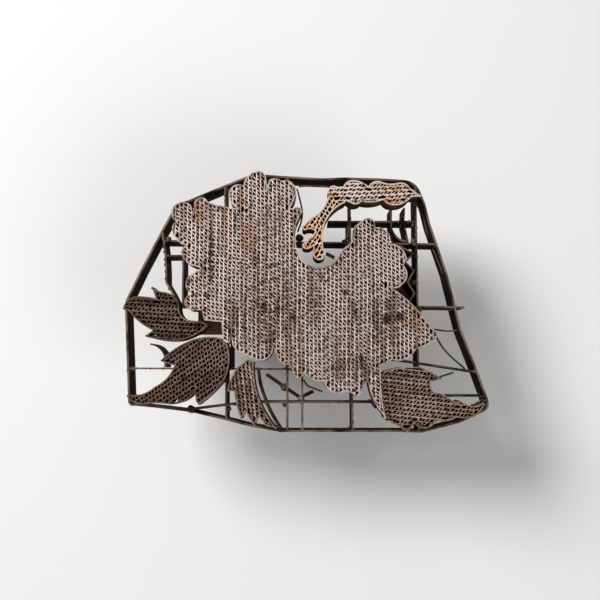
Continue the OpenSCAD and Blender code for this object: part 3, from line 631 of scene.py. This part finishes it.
def handleMaterial(name, look):
    material, wire, place = newMaterial(name)
    patches = place.cloud(34, 5, 0.62)
    grime = place.cloud(240, 5, 0.65)
    strokes = place.turned(look["strokeTurn"]).stretched(*look["strokes"]).cloud(1.0, 3)
    specks = place.cloud(1300, 2)
    edges = wire.node("ShaderNodeNewGeometry", output="Pointiness").between(0.5, 0.56)
    tint = (patches * 0.75 + grime * 0.25).between(0.4, 0.6).blend(look["dark"], look["brown"])
    rubbed = (place.cloud(23, 3) * 0.55 + grime * 0.3 + strokes * 0.15).between(0.47, 0.6)
    tint = (rubbed * 0.6 + edges * 0.35).blend(tint, look["rubbed"])
    tint = (grime * 0.6 + specks * 0.4).between(0.57, 0.66, 0.7).blend(tint, look["tarnish"])
    addShader(wire, {
        "Base Color": tint,
        "Metallic": 0.85,
        "Roughness": look["rough"] + grime * 0.3 + strokes * 0.12 - rubbed * 0.1,
        "Normal": (grime * 0.6 + strokes * 0.15 + specks * 0.25).bump(0.3, 0.2 * mm),
    })
    return material


handleCopper = handleMaterial("handle_copper", handleLook)
dress(("handle_strap", "handle_grip", "foot_plate"), handleCopper)
print("handle dressed")


# Plugs in the fillings. Dark plugs deep in the cells that the camera would see right through are painted
# shade. Here and there close to the face they are old wax and soot.
residue = {
    "step": 0.5, "apart": 0.62, "sides": 6, "radius": (0.5, 0.75), "ragged": (0.8, 1.15), "thick": 0.6,
    "crown": 0.12, "sunk": 0.15, "deep": (3.5, 9), "shallow": (0.6, 2.4), "cloggedOver": 0.36,
    "cloggedShare": 0.25, "seed": 3,
}
# Colours of the plugs: dark and brown are painted shade deep in the cells, and shallow is lighter near the face
# as painted light
residueLook = {
    "dark": (0.015, 0.0085, 0.006), "brown": (0.047, 0.025, 0.0165),
    "shallow": (0.087, 0.052, 0.037), "lumps": (700, 4, 0.6),
}


def addPlug(work, centre, radius, chance):
    sides, turn = residue["sides"], chance.uniform(0, math.pi)
    top, bottom = [], []
    for k in range(sides):
        a, r = turn + k * math.tau / sides, radius * chance.uniform(*residue["ragged"])
        x, y = centre.x + r * mm * math.cos(a), centre.y + r * mm * math.sin(a)
        top.append(work.verts.new((x, y, centre.z - chance.uniform(0, residue["sunk"]) * mm)))
        bottom.append(work.verts.new((x, y, centre.z - residue["thick"] * mm)))
    crown = work.verts.new(centre + Vector((0, 0, residue["crown"] * mm)))
    for k in range(sides):
        j = (k + 1) % sides
        work.faces.new((top[k], top[j], crown))
        work.faces.new((bottom[k], bottom[j], top[j], top[k]))
    work.faces.new(reversed(bottom))


def gridOver(field):
    step = residue["step"]
    for i in range(math.ceil((field.lines[-1] - field.lines[0] + 2 * field.pitch) / step)):
        for j in range(math.ceil((field.high - field.low) / step)):
            yield field.lines[0] - field.pitch + i * step, field.low + j * step


def buildResidue(work):
    chance = random.Random(residue["seed"])
    strips = piecesOf("", "_rim", "_ribs", "_crimps") + [bpy.data.objects[field.name] for field in fields]
    tree = treeOf(strips)
    eye = Vector(view["at"])
    plugs = {}  # by square millimetre
    for field in fields:
        for u, v in gridOver(field):
            flat = field.place(u, v)
            point = Vector((flat.x * mm, flat.y * mm, faceTop))
            down = (point - eye).normalized()
            clogged = (chance.random() < residue["cloggedShare"]
                       and noise.noise(Vector((u * 0.5, v * 0.22, 9.0))) > residue["cloggedOver"])
            if not clogged and tree.ray_cast(point, down, (faceTop - faceBack) / -down.z)[0] is not None:
                continue  # the camera sees a strip here
            x, y = math.floor(flat.x), math.floor(flat.y)
            near = [plug for a in (-1, 0, 1) for b in (-1, 0, 1) for plug in plugs.get((x + a, y + b), ())]
            if any((flat - plug).length < residue["apart"] for plug in near):
                continue
            if not field.kept(u, v) or not field.encloses(*flat):
                continue
            deep = chance.uniform(*residue["shallow"])
            # Painted shade: where the camera sees through a cell, a dark plug deep in it stands in for the shade
            # down the cell
            if not clogged:
                drop = noise.noise(Vector((u * 0.2, v * 0.2, 4.0))) * 0.5 + 0.5
                deep = residue["deep"][0] + drop * (residue["deep"][1] - residue["deep"][0])
            addPlug(work, point + down * (deep * mm / -down.z), chance.uniform(*residue["radius"]), chance)
            plugs.setdefault((x, y), []).append(flat)


def residueMaterial(name, look):
    material, wire, place = newMaterial(name)
    lumps = place.cloud(*look["lumps"])
    tint = lumps.between(0.4, 0.65).blend(look["dark"], look["brown"])
    # Painted light and shade: plugs near the face are lighter, and deeper ones darker
    tint = place.axis("Z").between(faceTop - 2 * mm, faceTop - 0.2 * mm).blend(tint, look["shallow"])
    addShader(wire, {
        "Base Color": tint,
        "Metallic": 0.1,
        "Specular IOR Level": sideWalls["gloss"],
        "Specular Tint": sideWalls["tint"],
        "Roughness": 0.6 + lumps * 0.3,
        "Normal": lumps.bump(0.6, 0.3 * mm),
    })
    return material


waxAndShadeFinish = residueMaterial("old_wax_and_shade_plugs", residueLook)
waxAndShadePlugs = addPiece("old_wax_and_shade_plugs", meshFrom("old_wax_and_shade_plugs", buildResidue), waxAndShadeFinish, smooth=False)
print("old wax in the cells:", len(waxAndShadePlugs.data.polygons), "faces")


# Solder: dull grey with brown flux stains, and bright grains painted on as glints
solderLook = {
    "grey": (0.13, 0.11, 0.085), "stain": (0.05, 0.034, 0.021), "bright": (0.3, 0.265, 0.21), "rough": 0.42,
}


def solderMaterial(name, look):
    material, wire, place = newMaterial(name)
    stains = place.cloud(180, 4)
    grainsAndGlints = place.cloud(900, 3)
    tint = stains.between(0.42, 0.6).blend(look["grey"], look["stain"])
    # Painted glints: bright specks where the grain noise is high
    tint = grainsAndGlints.between(0.55, 0.7, 0.6).blend(tint, look["bright"])
    addShader(wire, {
        "Base Color": tint,
        "Metallic": 0.8 - stains * 0.5,
        "Roughness": look["rough"] + stains * 0.3,
        "Normal": (grainsAndGlints * 0.5 + stains * 0.5).bump(0.35, 0.2 * mm),
    })
    return material


solderFinish = solderMaterial("solder", solderLook)


# Lumps of solder in the corners of the lattice: place and radius in millimetres
lumps = {
    "places": [(-12, -48.3, 2.2), (-2.6, -54.6, 1.9), (-3.6, 36.6, 2.4), (-64.5, -60.6, 2.4), (-14.5, -71.6, 1.8),
               (61.3, 44.2, 1.6), (61.2, 34.6, 1.8), (-11.8, -57.8, 1.5), (24, 33.2, 1.6), (-78.2, 35.8, 1.7),
               (64.4, -4.4, 1.6), (-99.6, -39, 1.5), (61.8, 11, 2), (53.8, 31.5, 1.8), (-43.4, -60, 1.6)],
    "below": 0.6, "narrow": 0.95, "flat": 0.72, "roughness": 0.3, "steps": 3,
}


def buildLumps(work):
    for seed, (x, y, r) in enumerate(lumps["places"]):
        z = faceBack - (r + lumps["below"]) * mm
        radii = (r * lumps["narrow"], r * lumps["narrow"], r * lumps["flat"])
        addLump(work, x, y, z, radii, lumps["roughness"], seed, lumps["steps"])


solderLumps = addPiece("solder_lumps", meshFrom("solder_lumps", buildLumps), solderFinish)
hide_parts("solder_beads")
print("solder lumps made")


# Solder seams in the corners where strips of the lattice cross or meet. The lines are in millimetres.
seams = {
    "bars": [
        [(-46, 65.8), (-44.5, -65.8)], [(-10.5, 71), (-10.5, -72.4)], [(25, 70.3), (26, -72.4)],
        [(62.5, 65.6), (63, -3), (63, -72.6)], [(-81.5, 39.9), (-80.1, 26), (-79, 11), (-75.5, 5), (-72.3, -1.3)],
        [(-27.2, -37.3), (-25.5, -46), (-22.6, -56), (-13.6, -72.3)], [(-2, -38.7), (-2, -72.4)],
        [(-41.8, -23), (-41.8, -37.2)], [(-69.5, 33.8), (-69.5, -1.5)], [(48.5, 53), (48.5, 46.1)],
        [(56, 53.5), (55.6, 46.1)], [(55.6, 44.9), (58, 33.6)], [(12.5, 45.5), (61.9, 45.5)],
        [(-80, 34.5), (75, 32.6)], [(-100.7, -2), (89.5, -3.2)], [(-100, -37.6), (25.2, -38.2)],
        [(-66, -60.7), (-45.4, -58.2), (-37, -57.3), (-25, -56.5), (62.4, -56.5)], [(53, -33), (95.7, -39.6)],
        [(63.7, -53), (100.4, -53)], [(-79, 26), (-70.1, 26)],
    ],
    "band": [(-99.5, -55.2), (-101, -24.5), (-102, -4.5), (-102, -1), (-101, 2), (-93.5, 18), (-82, 40.5),
             (-74, 55.5), (-66.5, 58), (-50, 65), (-29, 73.5), (-22.5, 72.5), (8.5, 70.5), (23, 71), (42, 70.5),
             (56.5, 69.5), (65.5, 62), (68, 56), (70.5, 45), (80, 16), (87.5, -16), (97, -41), (102, -55.3),
             (102, -59), (100, -61.5), (85.5, -68), (72, -71.5), (65, -73.3), (52.5, -73), (-13.8, -73),
             (-31, -70), (-47, -66), (-64, -62), (-84.5, -59.5), (-95.5, -58.5), (-99.5, -55.4)],
    "reach": 1.6, "barEnd": 0.4, "halfBar": 0.5, "bandIn": 1.2, "apart": 0.45,
    "leg": (0.7, 1.7), "thinnest": 0.06, "sunk": 0.2, "hollow": 0.36, "lengths": (5.5, 8, 12, 19),
    "longer": (-1, 0.5), "below": (0.15, 0.9), "fromBack": 0.3, "rings": 9, "seed": 5,
}

# Joints in the band, at places where one of its strips ends and the next begins. Solder fills the slit
# and stands up inside.
joints = {"places": (2, 7, 10, 16, 22, 27, 29, -1), "onward": 0.1, "slit": 0.17, "outside": 0.15, "inside": 1.05,
          "wide": 1.5, "high": 0.8, "below": 0.7, "above": 0.1, "rings": 14}


def crossing(a, b, c, d):  # how far along the line from a to b the stretch from c to d is crossed
    r, s, w = b - a, d - c, c - a
    turn = r.x * s.y - r.y * s.x
    if abs(turn) < 0.1 * r.length * s.length:  # nearly parallel
        return None
    return (w.x * s.y - w.y * s.x) / turn if 0 <= (w.x * r.y - w.y * r.x) / turn <= 1 else None


def insideBand(point, band):
    hits = sum((a.y > point.y) != (b.y > point.y) and point.x < a.x + (point.y - a.y) * (b.x - a.x) / (b.y - a.y)
               for a, b in zip(band, band[1:] + band[:1]))
    return hits % 2 == 1


def seamCorners():
    band = [Vector(p) for p in seams["band"]]
    bars = [[Vector(p) for p in line] for line in seams["bars"]]
    found = []
    for i, line in enumerate(bars):
        others = [(other, seams["halfBar"]) for other in bars[i + 1:] + bars[:i]]
        others.append((band + band[:1], seams["bandIn"]))
        for a, b in zip(line, line[1:]):
            extra = seams["reach"] / (b - a).length
            low = -extra if a == line[0] else 0
            high = 1 + extra if b == line[-1] else 1
            for other, off in others:
                for c, d in zip(other, other[1:]):
                    part = crossing(a, b, c, d)
                    if part is None or not low <= part <= high:
                        continue
                    along, across = (b - a).normalized(), (d - c).normalized()
                    point = a + (b - a) * part
                    ends = {1: part > 1 - extra * seams["barEnd"], -1: part < extra * seams["barEnd"]}
                    for side, way in ((-1, -1), (-1, 1), (1, -1), (1, 1)):
                        corner = point + along * side * off + across * way * seams["halfBar"]
                        if not ends[side] and insideBand(corner, band):
                            found.append((corner, along * side, across * way))
    kept = []
    for corner in found:  # a pair of bars finds its corners twice
        if all((corner[0] - other[0]).length > seams["apart"] for other in kept):
            kept.append(corner)
    return kept


def addJoint(work, before, at, after, seed):
    along = ((at - before).normalized() + (after - at).normalized()).normalized()
    inward = Vector((along.y, -along.x))
    at = at + along * joints["onward"]
    top, bottom = faceBack / mm - joints["below"], frameBack / mm + joints["above"]
    slit, outside, inside, last = joints["slit"], joints["outside"], joints["inside"], joints["rings"] - 1
    rings = []
    for k in range(joints["rings"]):
        z = top + (bottom - top) * k / last
        swell = 0.75 + 0.6 * noise.noise(Vector((seed * 5.1, 0.3, z * 0.4)))
        swell *= 0.5 if k in (0, last) else 1
        wide, high = joints["wide"] * swell, joints["high"] * swell
        middle, shoulder = wide * 0.6, inside + high * 0.8
        outline = [(-slit, outside), (slit, outside), (slit, inside), (wide, inside), (middle, shoulder),
                   (0, inside + high), (-middle, shoulder), (-wide, inside), (-slit, inside)]
        rings.append(addRing(work, [at + along * a + inward * b for a, b in outline], z * mm))
    skin(work, rings)


def addSeam(work, corner, first, second, chance):  # a fillet down the corner between two strips
    leg = chance.uniform(*seams["leg"])
    length = chance.choice(seams["lengths"]) + chance.uniform(*seams["longer"])
    top = faceBack / mm - chance.uniform(*seams["below"])
    if chance.random() < seams["fromBack"]:
        top = frameBack / mm + length + seams["sunk"]
    count, sunk = seams["rings"], seams["sunk"]
    root = corner - (first + second) * sunk
    rings = []
    for k in range(count):
        z = top - length * k / (count - 1)
        swell = math.sin(math.pi * (k + 0.35) / (count - 0.3)) ** 0.5  # thin at both ends
        swell *= 0.75 + 0.5 * noise.noise(Vector((corner.x, corner.y, z * 0.35)))
        size = max(leg * swell, seams["thinnest"])
        outline = [root, root + first * (size + sunk), root + (first + second) * (sunk + size * seams["hollow"]),
                   root + second * (size + sunk)]
        rings.append(addRing(work, outline, z * mm))
    skin(work, rings)


def buildSeams(work):
    band = [Vector(p) for p in seams["band"]]
    for k in joints["places"]:
        addJoint(work, band[k - 1], band[k], band[(k + 1) % len(band)], k)
    chance = random.Random(seams["seed"])
    for corner, first, second in seamCorners():
        addSeam(work, corner, first, second, chance)


solderSeams = addPiece("solder_seams", meshFrom("solder_seams", buildSeams), solderFinish)
print("solder seams made:", len(solderSeams.data.polygons), "faces")


# Solder tacks where the outline strips stand on the lattice
tacks = {"step": 0.5, "apart": 3, "radius": (0.7, 1.2), "height": 0.6, "roughness": 0.35, "shapes": 40,
         "seed": 11}


def tackPlaces():
    tree = treeOf(piecesOf("", "_rim"))
    found = []
    for line in seams["bars"] + [seams["band"]]:
        for a, b in stretchesOf(line):
            count = max(1, round((b - a).length / tacks["step"]))
            for k in range(count):
                point = a.lerp(b, k / count)
                start = Vector((point.x * mm, point.y * mm, faceBack - mm))
                hit = tree.ray_cast(start, Vector((0, 0, 1)), 2 * mm)
                if hit[0] is not None and all((point - other).length > tacks["apart"] for other in found):
                    found.append(point)
    return found


def buildTacks(work):
    chance = random.Random(tacks["seed"])
    for number, point in enumerate(tackPlaces()):
        r = chance.uniform(*tacks["radius"])
        addLump(work, *point, faceBack, (r, r, tacks["height"]), tacks["roughness"], number + tacks["shapes"])


addPiece("solder_tacks", meshFrom("solder_tacks", buildTacks), solderFinish)
print("solder tacks made")


# Crust of wax and flux in lumps along the front edges of the lattice
crust = {"start": 4, "gap": (2.5, 8), "endsIn": 2, "radius": (0.5, 0.78), "longer": (1, 2.2), "flat": 0.6,
         "below": 0.25, "roughness": 0.4, "shapes": 90, "seed": 17}
# Its bright grains are painted glints, as on the solder
crustLook = {
    "grey": (0.11, 0.08, 0.05), "stain": (0.04, 0.028, 0.018), "bright": (0.21, 0.16, 0.105), "rough": 0.5,
}


def buildCrust(work):
    chance = random.Random(crust["seed"])
    number = crust["shapes"]
    for line in seams["bars"]:
        for a, b in stretchesOf(line):
            along = (b - a).normalized()
            gone = crust["endsIn"] + chance.uniform(0, crust["start"])
            while gone < (b - a).length - crust["endsIn"]:
                point = a + along * gone
                r = chance.uniform(*crust["radius"])
                long = r * chance.uniform(*crust["longer"])
                radii = [r + (long - r) * abs(part) for part in along] + [r * crust["flat"]]
                addLump(work, *point, faceBack - crust["below"] * mm, radii, crust["roughness"], number)
                gone += chance.uniform(*crust["gap"])
                number += 1


addPiece("lattice_crust", meshFrom("lattice_crust", buildCrust), solderMaterial("crust", crustLook))
print("lattice crust made")


# Tie wires: round, a little bent, their ends turned down against the bars. Millimetres, with the
# depth of each below the front edges of the lattice.
wires = {
    "runs": [(2, [(-5, 65), (-3.2, 58), (-1.8, 51.5), (-2.4, 46), (-4.5, 40.5)]),
             (2, [(-3.5, 66.5), (5, 66.6), (14.5, 66)]),
             (3, [(-0.9, -44.5), (0.6, -47.4), (3, -48.3), (9, -50.5)]),
             (3, [(65.8, 57), (67.6, 47), (70, 37)]), (3, [(72.3, 31), (75.6, 23), (78.3, 15.5)]),
             (3, [(-56.5, 59.6), (-51, 62.6)]), (1.5, [(71.5, -15.5), (78.5, -16.6), (82, -16.6), (86, -16)]),
             (4, [(73.5, -18.5), (77, -25.5), (82, -31), (90, -37.8)]), (2, [(75, -42.5), (83, -40)])],
    "radius": 0.5, "below": 0.55, "turnDown": 1.6, "roundness": 3, "smoothness": 6,
}
wireLook = {
    "dark": (0.03, 0.022, 0.018), "brown": (0.09, 0.056, 0.038), "copper": (0.2, 0.11, 0.07),
    "edge": (0.2, 0.135, 0.098), "wax": (0.1, 0.075, 0.038), "waxOver": 0.64, "rough": 0.45,
    "highlightDepth": 4 * mm, "tint": (0.6, 0.4, 0.3),
}


def buildWires():
    curve = bpy.data.curves.new("tie_wires_round", "CURVE")
    curve.dimensions = "3D"
    curve.bevel_depth = wires["radius"] * mm
    curve.bevel_resolution = wires["roundness"]
    curve.resolution_u = wires["smoothness"]
    curve.use_fill_caps = True
    for depth, line in wires["runs"]:
        z = faceBack / mm - depth - wires["below"]
        ends = z - wires["turnDown"]
        points = [(*line[0], ends)] + [(x, y, z) for x, y in line] + [(*line[-1], ends)]
        spline = curve.splines.new("NURBS")
        spline.points.add(len(points) - 1)
        for k, (x, y, height) in enumerate(points):
            spline.points[k].co = (x * mm, y * mm, height * mm, 1)
        spline.order_u = 3
        spline.use_endpoint_u = True
    return curve


wireCopper = frameMaterial("wire_copper", wireLook)
tieWires = addPiece("tie_wires_round", buildWires(), wireCopper, smooth=False)
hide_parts("tie_wires")
print("tie wires made")


# Brace rods: olive with old wax
braceLook = {
    "dark": (0.09, 0.065, 0.038), "brown": (0.19, 0.14, 0.085), "copper": (0.3, 0.21, 0.13),
    "edge": (0.3, 0.23, 0.15), "wax": (0.3, 0.235, 0.13), "waxOver": 0.5, "rough": 0.5,
    "highlightDepth": 5 * mm, "tint": (0.6, 0.45, 0.3),
}
dress("brace_rods", frameMaterial("brace_copper", braceLook))
print("brace rods dressed")


# Rivets: hammered domes under the flanges, and flattened ends on the foot plates
rivets = {
    "places": [(-54, -7), (-54, 11), (50, -7), (50, 11)], "headZ": 60.5, "plateZ": 64, "head": 3.4, "dome": 1.6,
    "end": 2.6, "endHeight": 0.6, "shank": 1.9, "dents": 0.06, "sides": 32, "steps": (0, 15, 30, 45, 60, 75, 86),
}


def addTurned(work, x, y, profile):
    rings = []
    for r, z in profile:
        ring = []
        for k in range(rivets["sides"]):
            a = math.tau * k / rivets["sides"]
            c, s = math.cos(a), math.sin(a)
            swell = 1 + rivets["dents"] * noise.noise(Vector((x + 1.5 * c, y + 1.5 * s, z)))
            ring.append((x + r * swell * c, y + r * swell * s))
        rings.append(addRing(work, ring, z * mm))
    skin(work, rings)


def buildRivets(work):
    steps = [math.radians(a) for a in rivets["steps"]]
    below = [(rivets["head"] * math.cos(a), rivets["headZ"] - rivets["dome"] * math.sin(a)) for a in steps]
    above = [(rivets["end"] * math.cos(a), rivets["plateZ"] + rivets["endHeight"] * math.sin(a)) for a in steps]
    shank = [(rivets["shank"], rivets["headZ"]), (rivets["shank"], rivets["plateZ"])]
    for x, y in rivets["places"]:
        addTurned(work, x, y, below[::-1] + shank + above)


rivetHeads = addPiece("rivets", meshFrom("rivets", buildRivets), handleCopper)
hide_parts("handle_rivets")
print("rivets made")


# Stage: a pale floor, soft lamps and a pale room
stage = {
    "floorSize": 6.0, "floorColour": (0.78, 0.775, 0.765), "floorRough": 0.9, "floorBump": 0.05,
    "roomColour": (0.86, 0.86, 0.855), "roomLight": 0.3, "aim": (0, 0, 0.08),
    "lamps": [("key", (-0.95, 0.7, 1.3), 0.8, 30), ("fill", (0.95, -0.9, 1.2), 1.1, 9)],
}
floor = linked("floor", meshFrom("floor", lambda work: bmesh.ops.create_grid(
    work, x_segments=1, y_segments=1, size=stage["floorSize"] / 2)))
floorFinish, wire, place = newMaterial("floor")
uneven = place.cloud(160, 3).bump(stage["floorBump"], mm)
addShader(wire, {"Base Color": stage["floorColour"], "Roughness": stage["floorRough"], "Normal": uneven})
floor.data.materials.append(floorFinish)

# The room is pale to the camera and in reflections, and lights the stamp less
room = bpy.data.worlds.new("room")
room.use_nodes = True
room.node_tree.nodes.clear()
wire = Wire(room.node_tree)
direct, glossy, clear = (wire.node("ShaderNodeLightPath", output="Is " + kind + " Ray")
                         for kind in ("Camera", "Glossy", "Transmission"))
seen = wire.maths("MAXIMUM", wire.maths("MAXIMUM", direct, glossy), clear)
strength = seen * (1 - stage["roomLight"]) + stage["roomLight"]
backdrop = wire.node("ShaderNodeBackground", {"Color": stage["roomColour"], "Strength": strength})
wire.node("ShaderNodeOutputWorld", {"Surface": backdrop})
bpy.context.scene.world = room

for name, at, size, power in stage["lamps"]:
    light = bpy.data.lights.new(name, "AREA")
    light.shape = "DISK"
    light.size = size
    light.energy = power
    lamp = linked(name, light)
    lamp.location = at
    lamp.rotation_euler = (Vector(stage["aim"]) - lamp.location).to_track_quat("-Z", "Y").to_euler()
print("stage and lamps ready")


camera = linked("camera", bpy.data.cameras.new("camera"))
camera.data.sensor_width = view["sensor"]
camera.data.lens = view["lens"]
camera.data.clip_start = view["nearest"]
camera.data.clip_end = view["furthest"]
camera.location = view["at"]
camera.rotation_euler = (view["tilt"], 0, 0)
bpy.context.scene.camera = camera
bpy.context.scene.view_settings.view_transform = "Standard"

print("camera ready")
